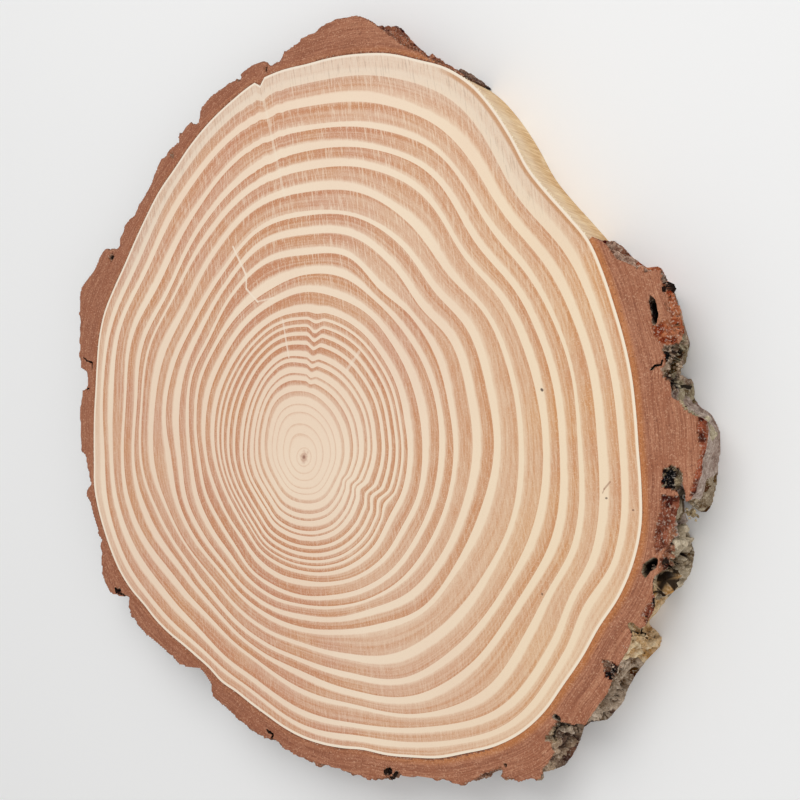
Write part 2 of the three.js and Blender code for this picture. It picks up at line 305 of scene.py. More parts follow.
rings = {
    # radius of each ring's sharp outer edge, every 15 degrees from bearing 0, outermost first
    "edges": [
        [112.4, 112.1, 112.3, 110.9, 122.6, 125.8, 125.0, 124.0, 116.0, 107.5, 105.1, 99.1,
         94.1, 92.1, 86.8, 81.0, 78.2, 80.0, 86.2, 90.2, 100.0, 109.8, 110.5, 114.5],
        [105.9, 105.9, 105.3, 104.2, 113.5, 117.0, 117.1, 116.9, 109.3, 101.6, 100.2, 93.5,
         89.7, 86.2, 79.8, 75.0, 74.2, 76.0, 81.6, 86.5, 95.2, 104.7, 105.6, 107.8],
        [99.7, 100.2, 99.0, 98.1, 106.8, 108.9, 108.9, 108.4, 100.5, 93.2, 92.8, 86.5,
         84.1, 80.2, 72.8, 68.6, 67.8, 69.9, 75.0, 80.5, 90.8, 97.8, 97.6, 101.3],
        [93.9, 93.8, 93.1, 91.7, 100.2, 102.3, 101.9, 100.3, 94.2, 87.2, 86.5, 80.6,
         78.6, 73.5, 67.3, 64.2, 64.2, 66.4, 69.4, 76.0, 85.0, 89.2, 90.5, 94.6],
        [88.6, 88.0, 87.6, 86.1, 93.5, 96.0, 95.5, 94.7, 89.0, 83.7, 82.7, 77.8,
         74.9, 68.8, 63.5, 60.7, 61.1, 62.9, 65.3, 70.5, 79.0, 82.2, 84.6, 87.8],
        [80.6, 80.9, 80.9, 78.5, 83.7, 87.9, 88.2, 87.9, 82.0, 76.0, 74.6, 71.4,
         68.8, 63.9, 59.9, 56.9, 57.1, 58.5, 60.2, 64.5, 71.0, 74.4, 77.0, 80.2],
        [72.1, 72.3, 73.3, 71.6, 76.4, 79.9, 80.2, 79.9, 73.9, 69.7, 68.3, 65.5,
         60.1, 58.1, 55.0, 52.4, 52.8, 53.8, 55.2, 57.0, 60.6, 65.9, 67.3, 69.4],
        [64.8, 65.3, 66.5, 64.8, 69.3, 73.6, 73.9, 74.3, 69.3, 64.8, 62.5, 58.8,
         55.2, 54.0, 51.2, 49.3, 49.9, 50.7, 51.1, 53.0, 55.2, 59.4, 61.5, 63.0],
        [58.0, 58.2, 59.6, 60.4, 60.8, 66.9, 67.1, 68.0, 64.5, 59.8, 58.4, 53.8,
         50.2, 48.6, 46.6, 45.2, 46.4, 47.3, 47.8, 49.4, 51.9, 54.4, 55.8, 57.1],
        [52.8, 53.8, 54.6, 55.3, 57.0, 60.1, 60.4, 58.8, 57.5, 55.5, 53.8, 50.0,
         46.3, 44.6, 42.2, 41.6, 43.3, 43.9, 44.9, 45.9, 48.0, 50.0, 50.8, 52.0],
        [46.7, 47.2, 48.2, 49.6, 51.9, 53.2, 54.6, 53.6, 52.3, 50.0, 48.2, 45.6,
         42.7, 39.8, 38.1, 37.3, 38.5, 39.5, 40.0, 41.6, 43.6, 44.9, 45.0, 46.5],
        [41.2, 41.4, 42.8, 44.1, 46.0, 47.4, 48.0, 48.3, 46.9, 45.2, 43.5, 41.2,
         38.6, 36.0, 34.2, 34.1, 35.6, 36.2, 37.0, 38.3, 39.5, 40.0, 39.2, 40.7],
        [25.5, 26.4, 27.4, 28.1, 29.0, 29.8, 30.8, 32.4, 31.2, 28.9, 26.8, 25.3,
         24.6, 23.3, 22.0, 21.8, 23.0, 23.5, 24.0, 24.6, 24.9, 24.1, 22.9, 23.8],
        [16.6, 17.6, 19.2, 21.6, 22.6, 19.0, 16.4, 14.5, 14.8, 15.1, 16.0, 15.4],
        [5.5, 5.9, 6.6, 7.6, 8.4, 7.2, 6.3, 5.7, 5.6, 5.6, 5.7, 5.6],
    ],
    # how many rings inside an edge the next listed edge is, and where those between lie
    "between": {
        12: [0.15, 0.29, 0.46, 0.635, 0.87],
        18: [0.37, 0.62],
        21: [0.30, 0.49, 0.765],
    },
    "heart": [3.2, 1.5],
    "followRim": 8,
    "wiggle": 1.2,
    "rimLine": 0.8,
    # where rings bend in sharply: bearing, half width, first ring, depth in each ring from there on
    "bends": [
        (84, 5, 12, [0.6, 1.2, 2.0, 1.9, 1.5, 1.1, 1.1, 0.9, 0.7]),
        (335, 8, 13, [1.5, 1.9, 2.0, 1.4, 1.4, 1.0, 0.9, 0.6]),
        (337, 8, 1, [1.8, 1.2, 0.6]),
        (98.6, 1.6, 1, [1.2]),
        (98, 1.6, 2, [0.7, 0.5, 0.4, 0.3]),
    ],
    # share of a ring that is dark, and how dark, from the outermost ring in
    "share": [0.56, 0.58, 0.68, 0.64, 0.64, 0.7, 0.7, 0.55, 0.66, 0.6, 0.62, 0.62, 0.6, 0.55, 0.56, 0.53,
              0.5, 0.42, 0.37, 0.3, 0.36, 0.36, 0.16, 0.14, 0.16, 0.16, 0.2, 0.2],
    "tone": [0.95, 0.88, 0.88, 0.92, 0.92, 0.85, 0.82, 1.0, 0.85, 1.0, 0.92, 0.95, 1.0, 1.0, 1.05, 1.05,
             1.05, 0.95, 0.95, 0.75, 0.75, 0.55, 0.42, 0.36, 0.36, 0.3, 0.3, 0.3],
    # how much darker than that the bands are every 30 degrees, and the outermost band every 15
    "toneTurn": [1.0, 0.96, 0.92, 1.12, 1.15, 1.06, 1.02, 1.1, 1.16, 1.12, 0.86, 0.9],
    "rimTone": [0.95, 0.95, 0.9, 0.5, 0.4, 0.4, 0.45, 0.65, 0.9, 0.95, 0.85, 0.5,
                0.4, 0.55, 0.75, 0.9, 0.95, 0.95, 0.95, 0.9, 0.75, 0.5, 0.5, 0.7],
}


def ringEdges(bearings):
    # radius of every ring's outer edge at each bearing, the rim's own dark line first
    rim = rimRadius(bearings)
    nodes = np.arange(0, 360, 15)
    soft = sum(rimRadius(bearings + turn) for turn in (-4, -2, 0, 2, 4)) / 5
    wiggle = np.clip(soft - closedCurve(rimRadius(nodes), bearings), -rings["wiggle"], rings["wiggle"])
    listed = [closedCurve(row, bearings) for row in rings["edges"]]
    edges = [rim - rings["rimLine"]]
    for index, edge in enumerate(listed):
        follow = max(0, 1 - (index + 1) / rings["followRim"])
        edges.append(edge + follow * wiggle)
        inside = listed[index + 1] if index + 1 < len(listed) else None
        for share in rings["between"].get(len(edges) - 1, []):
            edges.append(edge + share * (inside - edge))
    edges += [np.full(len(bearings), radius) for radius in rings["heart"]]
    for bearing, halfWidth, first, depths in rings["bends"]:
        off = np.abs((bearings - bearing + 180) % 360 - 180)
        dip = smooth(halfWidth, 0, off)
        for ring, depth in enumerate(depths, first):
            edges[ring] = edges[ring] - depth * dip
    return edges


# The disc: loops round the pith, two for each ring, on the sanded face and the sawn back

disc = {
    "columns": 720,
    "sideLoops": 12,
    "fibre": 0.16,
    "shareDrift": 0.16,
    "driftSize": 45,
}


def discLoops(bearings):
    edges = ringEdges(bearings)
    loops = [(np.zeros(len(bearings)), len(edges) + 0.5, 0.3)]
    for ring in range(len(edges) - 1, -1, -1):
        inside = edges[ring + 1] if ring + 1 < len(edges) else edges[ring] * 0
        drift = [noise.noise(Vector((math.cos(math.radians(b)) * edges[ring][i] / disc["driftSize"],
                                     math.sin(math.radians(b)) * edges[ring][i] / disc["driftSize"],
                                     ring * 3.1))) for i, b in enumerate(bearings)]
        share = rings["share"][ring] * (1 + 2 * disc["shareDrift"] * np.array(drift))
        turn = closedCurve(rings["rimTone"], bearings) if ring == 0 else closedCurve(rings["toneTurn"], bearings)
        tone = rings["tone"][ring] * turn
        loops.append((edges[ring] - share * (edges[ring] - inside), ring + 0.5, tone))
        loops.append((edges[ring], ring + 0.0, tone))
    loops.append((rimRadius(bearings), -0.4, 0.0))
    return loops


def woodDisc():
    columns = disc["columns"]
    bearings = np.arange(columns + 1) * 360 / columns
    loops = discLoops(bearings)
    rows = []
    for radii, ring, tone in loops:
        rows.append((radii, top, ring, tone, 0))
    rim = loops[-1][0]
    for level in range(1, disc["sideLoops"]):
        height = top * (1 - level / disc["sideLoops"])
        fibre = [disc["fibre"] * noise.noise(Vector((b * 3.1, height / 9, 4.0))) for b in bearings]
        rows.append((rim - np.abs(fibre), height, -0.4, 0, 1))
    for radii, ring, tone in reversed(loops):
        rows.append((radii, 0, ring, tone, 2))
    bpy.ops.mesh.primitive_grid_add(x_subdivisions=columns, y_subdivisions=len(rows) - 1)
    piece = bpy.context.active_object
    piece.name = "woodDisc"
    angle = np.radians(bearings)
    points = [np.column_stack((pith[0] + row[0] * np.cos(angle), pith[1] + row[0] * np.sin(angle),
                               np.full(columns + 1, float(row[1])))) for row in rows]
    setPoints(piece.data, np.vstack(points))
    setAttribute(piece.data, "ring", np.hstack([np.full(columns + 1, row[2]) for row in rows]))
    setAttribute(piece.data, "tone", np.hstack([row[3] + np.zeros(columns + 1) for row in rows]))
    topRows = len(loops) - 1
    kinds = np.zeros(len(rows) - 1, int)
    kinds[topRows:topRows + disc["sideLoops"]] = 1
    kinds[topRows + disc["sideLoops"]:] = 2
    piece.data.polygons.foreach_set("material_index", np.repeat(kinds, columns).astype(np.int32))
    bpy.ops.object.mode_set(mode="EDIT")
    bpy.ops.mesh.select_all(action="SELECT")
    bpy.ops.mesh.remove_doubles(threshold=1e-6)
    bpy.ops.mesh.normals_make_consistent(inside=False)
    bpy.ops.object.mode_set(mode="OBJECT")
    bpy.ops.object.shade_smooth_by_angle(angle=math.radians(40))
    for finish in (sandedFinish(), bareFinish(), sawnFinish()):
        piece.data.materials.append(finish)
    finishPiece(piece, "wood", "wood")
    print("wood disc", len(piece.data.polygons), "faces")
    return piece


sanded = {
    "cream": (246, 220, 194),
    "rimCream": (250, 228, 202),
    "tan": (207, 144, 99),
    "rose": (203, 138, 103),
    "orange": (212, 149, 92),
    "honey": (247, 222, 182),
    "white": (255, 243, 224),
    "streakBearing": 99,
    # light lines and dark marks: bearing and radius of both ends, width, colour, strength
    "marks": [
        (113.6, 80.0, 112.4, 68.0, 0.5, (252, 234, 212), 0.8),
        (112.4, 68.0, 113.9, 63.5, 0.5, (252, 234, 212), 0.8),
        (113.9, 63.5, 111.2, 57.0, 0.5, (252, 234, 212), 0.8),
        (111.2, 57.0, 104.0, 55.5, 0.4, (252, 234, 212), 0.6),
        (101.6, 47.0, 101.4, 34.0, 0.5, (250, 230, 208), 0.6),
        (56.0, 40.0, 57.5, 33.0, 0.8, (250, 230, 208), 0.5),
        (98.6, 124.0, 95.8, 88.0, 0.7, (250, 232, 208), 0.45),
        (355.3, 109.9, 354.2, 108.3, 0.4, (150, 92, 62), 0.55),
        (354.2, 108.3, 353.6, 107.9, 0.3, (150, 92, 62), 0.45),
        (352.9, 109.1, 352.9, 109.3, 0.4, (80, 50, 36), 0.8),
        (11.3, 90.2, 11.5, 90.0, 0.55, (70, 40, 30), 0.9),
        (351.8, 117.7, 351.8, 117.5, 0.35, (90, 56, 40), 0.7),
        (335.0, 97.0, 335.1, 96.8, 0.4, (90, 60, 44), 0.7),
    ],
}


def growthColour(finish, place, strength=1.0):
    ring = finish.attribute("ring")
    tone = finish.attribute("tone")
    phase = ring - finish.maths("FLOOR", ring)
    x, y, z = finish.separate(finish.vector("SUBTRACT", place, (*pith, 0)))
    warp = finish.noise(place, 0.35, 3) - 0.5
    wavering = phase + warp * 0.1
    inner = finish.step(0.4, 0.62, wavering, 1, 0)
    outer = finish.step(0.0, 0.03, phase)
    late = inner * outer * tone
    lines = finish.noise(finish.combine(ring * 11, x / 60, y / 60), 1, 3, 0.6)
    late = late * finish.step(0.3, 0.7, lines, 0.66, 1.12)
    late = late * finish.step(0.0, 0.45, phase, 1.05, 0.84) * strength
    broad = finish.noise(place, 0.018, 2)
    right = finish.step(20, 110, x + (broad - 0.5) * 60)
    brown = finish.mix(right, srgb(*sanded["rose"]), srgb(*sanded["orange"]))
    brown = finish.mix(finish.step(0.3, 0.7, finish.noise(place, 0.05, 3)), brown, srgb(*sanded["tan"]))
    cream = finish.mix(finish.step(0.35, 0.7, broad), srgb(*sanded["cream"]), srgb(*sanded["rimCream"]))
    cream = finish.mix(right * 0.45, cream, srgb(*sanded["honey"]))
    return ring, phase, late, brown, cream, (x, y, z)


def markShare(finish, x, y, mark):
    # one inside a straight mark, falling to nought at its sides
    ends = [(r * math.cos(math.radians(b)), r * math.sin(math.radians(b))) for b, r in (mark[:2], mark[2:4])]
    (ax, ay), (bx, by) = ends
    runX, runY = bx - ax, by - ay
    square = runX * runX + runY * runY
    along = finish.maths("ADD", (x - ax) * (runX / square), (y - ay) * (runY / square), clamp=True)
    offX = x - ax - along * runX
    offY = y - ay - along * runY
    return finish.step(mark[4], mark[4] * 0.35, finish.maths("SQRT", offX * offX + offY * offY), 0, mark[6])


def sandedFinish():
    finish = Finish("sandedFace")
    place = finish.place()
    ring, phase, late, brown, cream, (x, y, z) = growthColour(finish, place)
    long = finish.turned(place, (0, 0, 0), sanded["streakBearing"], (0.16, 1.7, 0.0))
    hair = finish.turned(place, (0, 0, 0), sanded["streakBearing"] + 2, (0.3, 3.4, 0.0))
    streaks = finish.noise(long, 1, 3, 0.6)
    hairs = finish.noise(hair, 1, 2, 0.5)
    across = finish.step(20, 70, y) * finish.step(110, 30, x, 0.5, 1)
    ticks = finish.step(0.52, 0.64, streaks) * (0.24 + across * 0.3)
    shades = finish.step(0.49, 0.36, streaks)
    late = late * (1 - ticks) + late * shades * 0.16
    late = late + (finish.step(0.6, 0.3, hairs) - 0.5) * 0.12 * (late + 0.25)
    colour = finish.mix(finish.maths("MULTIPLY", late, 1, clamp=True), cream, brown)
    # whitish outermost wood at the top, and the white and brown lines at the rim
    chalky = finish.step(1.6, 0.6, ring) * finish.step(50, 90, y)
    colour = finish.mix(chalky * finish.step(0.35, 0.6, streaks, 0.25, 0.6), colour, srgb(234, 216, 196))
    colour = finish.mix(chalky * finish.step(0.46, 0.36, streaks, 0, 0.35), colour, srgb(176, 160, 146))
    bared = finish.step(56, 64, y) * finish.step(50, 60, x)
    band = finish.step(0.0, 0.02, ring) * finish.step(0.2, 0.1, ring)
    colour = finish.mix(band * bared * 0.75, colour, srgb(196, 134, 78))
    colour = finish.mix(finish.step(0.0, -0.12, ring, 0, 0.6), colour, srgb(*sanded["white"]))
    fine = finish.noise(place, 3.2, 2)
    colour = finish.mix(finish.step(0.52, 0.76, fine, 0, 0.2) * (late + 0.3), colour, srgb(150, 92, 60))
    colour = finish.mix(finish.step(0.46, 0.28, fine, 0, 0.35) * (late + 0.2), colour, srgb(255, 236, 208))
    for mark in sanded["marks"]:
        colour = finish.mix(markShare(finish, x, y, mark), colour, srgb(*mark[5]))
    away = finish.maths("SQRT", x * x + y * y)
    star = away + (finish.noise(place, 0.9, 2) - 0.5) * 3
    colour = finish.mix(finish.step(2.4, 0.6, star, 0, 0.55), colour, srgb(176, 118, 92))
    colour = finish.mix(finish.step(0.8, 0.3, away, 0, 0.6), colour, srgb(120, 72, 54))
    height = streaks * 0.5 + fine * 0.3 + late * 0.4
    return finish.surface(colour, finish.step(0.3, 0.7, fine, 0.5, 0.62), height, 0.05)


def sawnFinish():
    finish = Finish("sawnBack")
    place = finish.place()
    ring, phase, late, brown, cream, (x, y, z) = growthColour(finish, place, 0.9)
    along = finish.turned(place, (0, 0, 0), 62, (0.05, 1.1, 0.0))
    saw = finish.noise(along, 1, 4, 0.65)
    colour = finish.mix(finish.maths("MULTIPLY", late, 1, clamp=True), cream, brown)
    colour = finish.mix(finish.step(0.45, 0.8, saw, 0, 0.3), colour, srgb(170, 120, 84))
    return finish.surface(colour, 0.72, saw + finish.noise(place, 2.4, 3) * 0.4, 0.18)


def bareFinish():
    finish = Finish("bareSide")
    place = finish.place()
    x, y, z = finish.separate(place)
    fibres = finish.noise(finish.combine(x, y, z * 0.08), 1.6, 4, 0.65)
    patches = finish.noise(place, 0.12, 3)
    colour = finish.mix(finish.step(0.3, 0.7, fibres), srgb(196, 148, 92), srgb(236, 202, 150))
    colour = finish.mix(finish.step(0.45, 0.75, patches, 0, 0.6), colour, srgb(240, 216, 176))
    colour = finish.mix(finish.step(0.62, 0.7, fibres, 0, 0.5), colour, srgb(250, 234, 200))
    colour = finish.mix(finish.step(3, 16, z, 0, 0.35), colour, srgb(244, 226, 204))
    return finish.surface(colour, 0.66, fibres, 0.35)


# Pale fibres torn up along the rim where the bark is gone

fray = {
    "bearings": (31.0, 62.5),
    "spacing": 0.2,
    "reach": (0.15, 0.75),
    "drop": (0.1, 0.6),
    "width": (0.3, 0.9),
    "colour": (252, 238, 208),
}


def frayedRim():
    chance = np.random.default_rng(5)
    corners = []
    faces = []
    for bearing in np.arange(*fray["bearings"], fray["spacing"]):
        turn = math.radians(bearing + chance.uniform(-0.1, 0.1))
        out = np.array((math.cos(turn), math.sin(turn), 0))
        along = np.array((-math.sin(turn), math.cos(turn), 0))
        rim = np.array((*pith, top)) + out * rimRadius(np.array([bearing]))[0]
        reach, drop, width = (chance.uniform(*fray[key]) * chance.uniform(0.4, 1) for key in ("reach", "drop", "width"))
        lean = chance.uniform(-0.6, 0.6)
        base = len(corners)
        corners += [rim - out * 0.5 - along * width / 2 - (0, 0, 0.02), rim - out * 0.5 + along * width / 2 - (0, 0, 0.02),
                    rim - out * 0.4 - (0, 0, 0.7), rim + out * reach + along * lean - (0, 0, drop)]
        faces += [(base, base + 1, base + 2), (base, base + 3, base + 1),
                  (base + 1, base + 3, base + 2), (base + 2, base + 3, base)]
    mesh = bpy.data.meshes.new("frayedRim")
    mesh.from_pydata([tuple(corner * mm) for corner in corners], [], faces)
    piece = bpy.data.objects.new("frayedRim", mesh)
    scene.collection.objects.link(piece)
    makeActive(piece)
    bpy.ops.object.mode_set(mode="EDIT")
    bpy.ops.mesh.select_all(action="SELECT")
    bpy.ops.mesh.normals_make_consistent(inside=False)
    bpy.ops.object.mode_set(mode="OBJECT")
    finish = Finish("frayedFibre")
    mesh.materials.append(finish.surface(srgb(*fray["colour"]), 0.7))
    finishPiece(piece, "wood", "wood")
    print("frayed rim", len(faces), "faces")


# The bark: the frame's ring in two lengths, remeshed fine, then torn, broken into flakes and cracked

bark = {
    # bearings where each length starts and ends, and the size of its mesh
    "lengths": {
        "barkRight": {"from": 309.6, "to": 405.0, "voxel": 0.4},
        "barkLeft": {"from": 45.0, "to": 309.6, "voxel": 0.57},
    },
    "lift": 0.1,
    "overlap": 0.4,
    "plates": {"size": 6.0, "step": 1.5, "groove": 0.8, "tilt": 0.2},
    "flakes": {"size": 1.9, "step": 0.9, "groove": 0.4, "tilt": 0.3},
    "crumbs": {"size": 0.9, "depth": 0.4},
    # rays and reach of the openness that drives the painted shade in cracks and crevices
    "rays": 14,
    "reach": 5.0,
    "wallDepth": (5.0, 2.5),
    "lip": (168, 108, 78),
    # near-black colour painted over the walls and floors of cracks and holes: painted shade
    "inside": (28, 17, 12),
    # bearing where each stretch of crust starts, its two colours and how rough it is
    "crust": [
        (0, (176, 154, 142), (202, 184, 172), 0.2),
        (3, (158, 142, 114), (220, 206, 174), 0.8),
        (9, (142, 116, 96), (202, 174, 148), 1.0),
        (15.5, (184, 104, 64), (216, 140, 96), 0.7),
        (22, (166, 126, 106), (226, 194, 172), 1.0),
        (55, (84, 56, 44), (132, 92, 70), 1.0),
        (67, (134, 76, 54), (190, 120, 86), 0.9),
        (100, (126, 90, 72), (178, 138, 112), 0.8),
        (230, (122, 84, 66), (174, 126, 98), 0.8),
        (309, (142, 116, 96), (208, 180, 150), 1.0),
        (319, (176, 154, 132), (242, 220, 196), 1.2),
        (326.5, (224, 190, 144), (252, 232, 194), 0.7),
        (337.5, (168, 150, 124), (230, 214, 186), 1.1),
        (352, (176, 154, 142), (202, 184, 172), 0.2),
    ],
}

# places where the sawn face is torn away: corners as bearing and radius, depth, roughness, two colours
tears = [
    {"corners": [(3.5, 135.9), (3.4, 138.8), (358.6, 137.5), (354.7, 135.0), (354.4, 133.3), (356.9, 134.7),
                 (359.8, 136.3), (2.0, 135.2)],
     "depth": 0.9, "rough": 0.5, "colours": ((120, 58, 38), (188, 104, 72))},
    {"corners": [(354.1, 125.6), (354.4, 132.5), (351.5, 131.4), (350.2, 128.4), (348.4, 129.1), (347.0, 126.2),
                 (349.1, 124.8), (351.8, 125.3)],
     "depth": 0.6, "rough": 0.5, "colours": ((136, 74, 52), (186, 110, 80))},
    {"corners": [(350.2, 128.8), (351.1, 133.3), (348.1, 132.7), (344.7, 131.3), (344.9, 128.2), (346.0, 127.5),
                 (348.8, 129.3)],
     "depth": 1.0, "rough": 0.6, "colours": ((128, 78, 56), (186, 128, 96))},
    {"corners": [(342.3, 128.4), (341.2, 130.3), (338.2, 129.0), (338.9, 127.0), (341.0, 128.0)],
     "depth": 0.8, "rough": 0.5, "colours": ((118, 58, 40), (186, 102, 70))},
    {"corners": [(18.6, 134.3), (18.7, 136.6), (17.8, 138.0), (16.5, 138.2), (14.9, 137.6), (13.3, 137.0),
                 (13.0, 134.3), (14.0, 133.4), (15.5, 133.2), (17.0, 133.7)],
     "depth": 0.6, "rough": 0.6, "colours": ((174, 96, 60), (210, 132, 90))},
    {"corners": [(15.4, 127.1), (15.3, 128.8), (15.8, 131.3), (15.1, 132.6), (13.7, 132.9), (12.5, 133.1),
                 (12.4, 130.4), (13.1, 128.4), (14.3, 127.3)],
     "depth": 0.5, "rough": 0.6, "colours": ((174, 96, 60), (210, 132, 90))},
    {"corners": [(357.4, 125.6), (357.9, 127.5), (357.7, 130.0), (356.8, 130.9), (355.6, 131.2), (354.6, 132.0),
                 (354.9, 129.5), (355.0, 127.0), (355.3, 125.4), (356.4, 125.2)],
     "depth": 0.8, "rough": 1.3, "colours": ((92, 74, 54), (190, 170, 136))},
    {"corners": [(320.5, 119.6), (321.7, 124.1), (322.0, 126.5), (319.6, 128.5), (318.1, 125.0), (317.4, 121.4),
                 (317.0, 120.1)],
     "depth": 2.6, "rough": 1.2, "colours": ((110, 92, 70), (196, 170, 136))},
    {"corners": [(318.1, 125.0), (319.3, 129.0), (318.4, 130.1), (314.0, 125.6), (316.6, 125.5)],
     "depth": 2.0, "rough": 1.2, "colours": ((136, 116, 92), (214, 188, 158))},
    {"corners": [(332.3, 127.3), (333.7, 127.8), (336.0, 132.2), (337.5, 134.5), (336.1, 134.4), (333.3, 134.1),
                 (330.7, 132.2), (330.8, 129.6)],
     "depth": 1.5, "rough": 0.7, "colours": ((206, 166, 110), (240, 214, 168))},
    {"corners": [(331.3, 121.4), (331.8, 123.9), (332.1, 129.6), (331.1, 129.7), (330.1, 127.9), (329.7, 124.3)],
     "depth": 0.8, "rough": 1.0, "colours": ((104, 70, 52), (214, 180, 152))},
    {"corners": [(328.5, 128.4), (329.9, 129.2), (329.3, 131.5), (328.2, 132.4), (325.7, 131.4), (324.3, 129.1),
                 (325.1, 127.9), (326.6, 128.3)],
     "depth": 2.0, "rough": 1.3, "colours": ((160, 138, 116), (238, 214, 188))},
    {"corners": [(21.3, 134.7), (20.7, 136.5), (18.7, 136.6), (18.5, 134.6), (20.2, 134.2)],
     "depth": 0.8, "rough": 0.9, "colours": ((116, 92, 78), (190, 164, 146))},
    {"corners": [(12.6, 128.6), (12.5, 131.5), (12.2, 134.6), (11.0, 134.4), (10.0, 132.8), (8.6, 132.2),
                 (8.1, 129.3), (8.8, 127.2), (9.7, 126.9), (10.4, 128.6), (11.3, 128.9)],
     "depth": 1.2, "rough": 1.2, "colours": ((136, 112, 92), (214, 186, 160))},
    {"corners": [(7.0, 129.9), (7.0, 133.3), (6.3, 135.7), (4.7, 136.9), (3.7, 135.0), (4.4, 132.6), (6.1, 130.5)],
     "depth": 1.0, "rough": 1.2, "colours": ((136, 122, 92), (206, 190, 156))},
]

# bark standing in the frame's wide gaps: height of the underside and corners of an upright block
fills = [
    (0.2, [(359.2, 121.5), (358.9, 125.0), (358.4, 128.5), (357.2, 131.0), (355.9, 130.6), (354.4, 129.3),
           (354.6, 126.5), (356.5, 123.0), (357.9, 121.0)]),
    (0.2, [(6.0, 121.2), (8.0, 122.5), (9.3, 126.0), (9.2, 129.0), (8.3, 129.4), (6.6, 129.2), (5.9, 126.0),
           (5.6, 122.8)]),
    (10.5, [(12.6, 128.2), (12.4, 131.5), (12.0, 133.4), (11.0, 131.6), (10.0, 129.8), (9.2, 129.0), (8.9, 127.8),
            (9.6, 127.4), (10.8, 127.6)]),
]

# cracks and holes: corners of an outline, or a line with its width at each corner, and the height of the bottom
cracks = [
    {"outline": [(19.2, 128.7), (19.0, 130.0), (18.0, 130.4), (16.8, 130.2), (15.5, 128.9), (15.4, 127.3),
                 (16.3, 127.5), (17.1, 128.5), (18.1, 128.8), (18.9, 128.3)], "floor": 3},
    {"outline": [(20.0, 133.6), (19.9, 134.8), (19.3, 134.8), (18.9, 133.9), (19.2, 133.2)], "floor": 13.5},
    {"outline": [(17.6, 132.6), (17.4, 133.6), (16.7, 133.5), (16.0, 132.8), (16.4, 132.1), (17.0, 132.3)], "floor": 10},
    {"outline": [(12.2, 128.6), (11.9, 130.1), (11.4, 131.5), (10.8, 132.6), (10.6, 131.3), (11.1, 129.8),
                 (11.7, 128.6)], "floor": 8},
    {"line": [(10.9, 128.3, 0.5), (10.4, 127.2, 0.6), (10.5, 125.4, 0.6), (10.0, 123.9, 0.2)], "floor": 13},
    {"line": [(6.4, 121.4, 0.8), (6.7, 122.4, 1.3), (6.9, 123.4, 0.5), (7.5, 125.1, 0.7), (8.1, 126.5, 1.0),
              (8.0, 128.4, 0.9), (7.7, 130.4, 1.0), (7.4, 132.2, 1.0)], "floor": 8},
    {"line": [(358.6, 121.3, 0.4), (358.1, 122.6, 0.6), (357.7, 124.0, 0.7), (357.0, 125.4, 0.9),
              (356.3, 126.4, 1.1), (355.8, 127.3, 1.4), (355.1, 128.8, 1.8), (354.5, 130.2, 1.9),
              (353.9, 131.5, 1.7), (353.3, 133.0, 1.5)], "floor": 6},
    {"outline": [(346.2, 122.5), (344.9, 123.6), (343.5, 123.5), (343.6, 124.9), (344.6, 126.2), (345.2, 127.1),
                 (346.6, 125.9)], "floor": 9},
    {"outline": [(337.4, 123.8), (336.9, 125.3), (336.2, 126.0), (335.6, 126.0), (336.2, 127.0), (336.6, 127.2)],
     "floor": 8},
    {"outline": [(332.8, 127.8), (333.4, 128.7), (333.7, 130.2), (333.2, 130.4), (332.6, 129.3)], "floor": 10},
    {"line": [(321.1, 117.2, 0.9), (320.8, 118.9, 0.7), (320.8, 120.5, 0.5), (320.6, 122.4, 0.3)], "floor": 9},
    {"line": [(141.0, 119.6, 0.5), (141.5, 117.0, 0.8), (141.2, 115.1, 0.4)], "floor": 9},
    {"line": [(140.0, 124.0, 1.1), (138.9, 121.0, 1.6), (140.2, 119.4, 1.0)], "floor": 9},
    {"line": [(159.8, 114.0, 0.4), (160.0, 111.8, 0.6), (160.0, 108.8, 0.7), (161.3, 107.9, 0.3)], "floor": 9},
    {"line": [(165.4, 108.2, 0.8), (165.0, 107.0, 0.7)], "floor": 8},
    {"line": [(96.9, 137.3, 0.8), (95.9, 136.6, 1.6), (94.9, 135.9, 0.6)], "floor": 8},
    {"line": [(97.3, 135.9, 0.3), (97.5, 134.8, 0.6), (97.2, 133.1, 0.3)], "floor": 12},
    {"line": [(207.4, 98.8, 0.9), (208.6, 98.9, 1.2), (209.7, 96.6, 0.8), (211.0, 95.0, 0.4)], "floor": 7},
    {"line": [(260.3, 90.4, 0.5), (261.1, 91.1, 0.9), (262.4, 91.5, 0.7), (261.8, 92.9, 0.9), (263.0, 93.6, 1.0)],
     "floor": 8},
    {"outline": [(288.1, 103.6), (289.7, 102.0), (290.8, 102.3), (290.6, 104.3), (289.1, 104.8)], "floor": 8},
    {"line": [(299.9, 108.8, 0.3), (300.9, 108.9, 0.5), (301.0, 110.3, 0.6), (300.1, 111.7, 0.9), (299.6, 113.4, 1.0)],
     "floor": 8},
]


def spot(bearing, radius):
    return pith[0] + radius * math.cos(math.radians(bearing)), pith[1] + radius * math.sin(math.radians(bearing))


def prism(outline, low, high):
    # corners and faces of an upright block over an outline
    count = len(outline)
    area = sum(ax * by - bx * ay for (ax, ay), (bx, by) in zip(outline, outline[1:] + outline[:1]))
    ring = outline if area > 0 else outline[::-1]
    corners = [(x * mm, y * mm, z * mm) for z in (low, high) for x, y in ring]
    faces = [list(range(count))[::-1], list(range(count, 2 * count))]
    faces += [[k, (k + 1) % count, count + (k + 1) % count, count + k] for k in range(count)]
    return corners, faces


def sector(start, end):
    steps = max(2, round((end - start) / 20))
    return prism([pith] + [spot(bearing, 190) for bearing in np.linspace(start, end, steps + 1)], -5, top + 5)


def cut(piece, block, operation, solver):
    mesh = bpy.data.meshes.new("cutter")
    mesh.from_pydata(block[0], [], block[1])
    tool = bpy.data.objects.new("cutter", mesh)
    scene.collection.objects.link(tool)
    makeActive(piece)
    applyModifier(piece, "cut", "BOOLEAN", operation=operation, object=tool, solver=solver)
    bpy.data.objects.remove(tool)


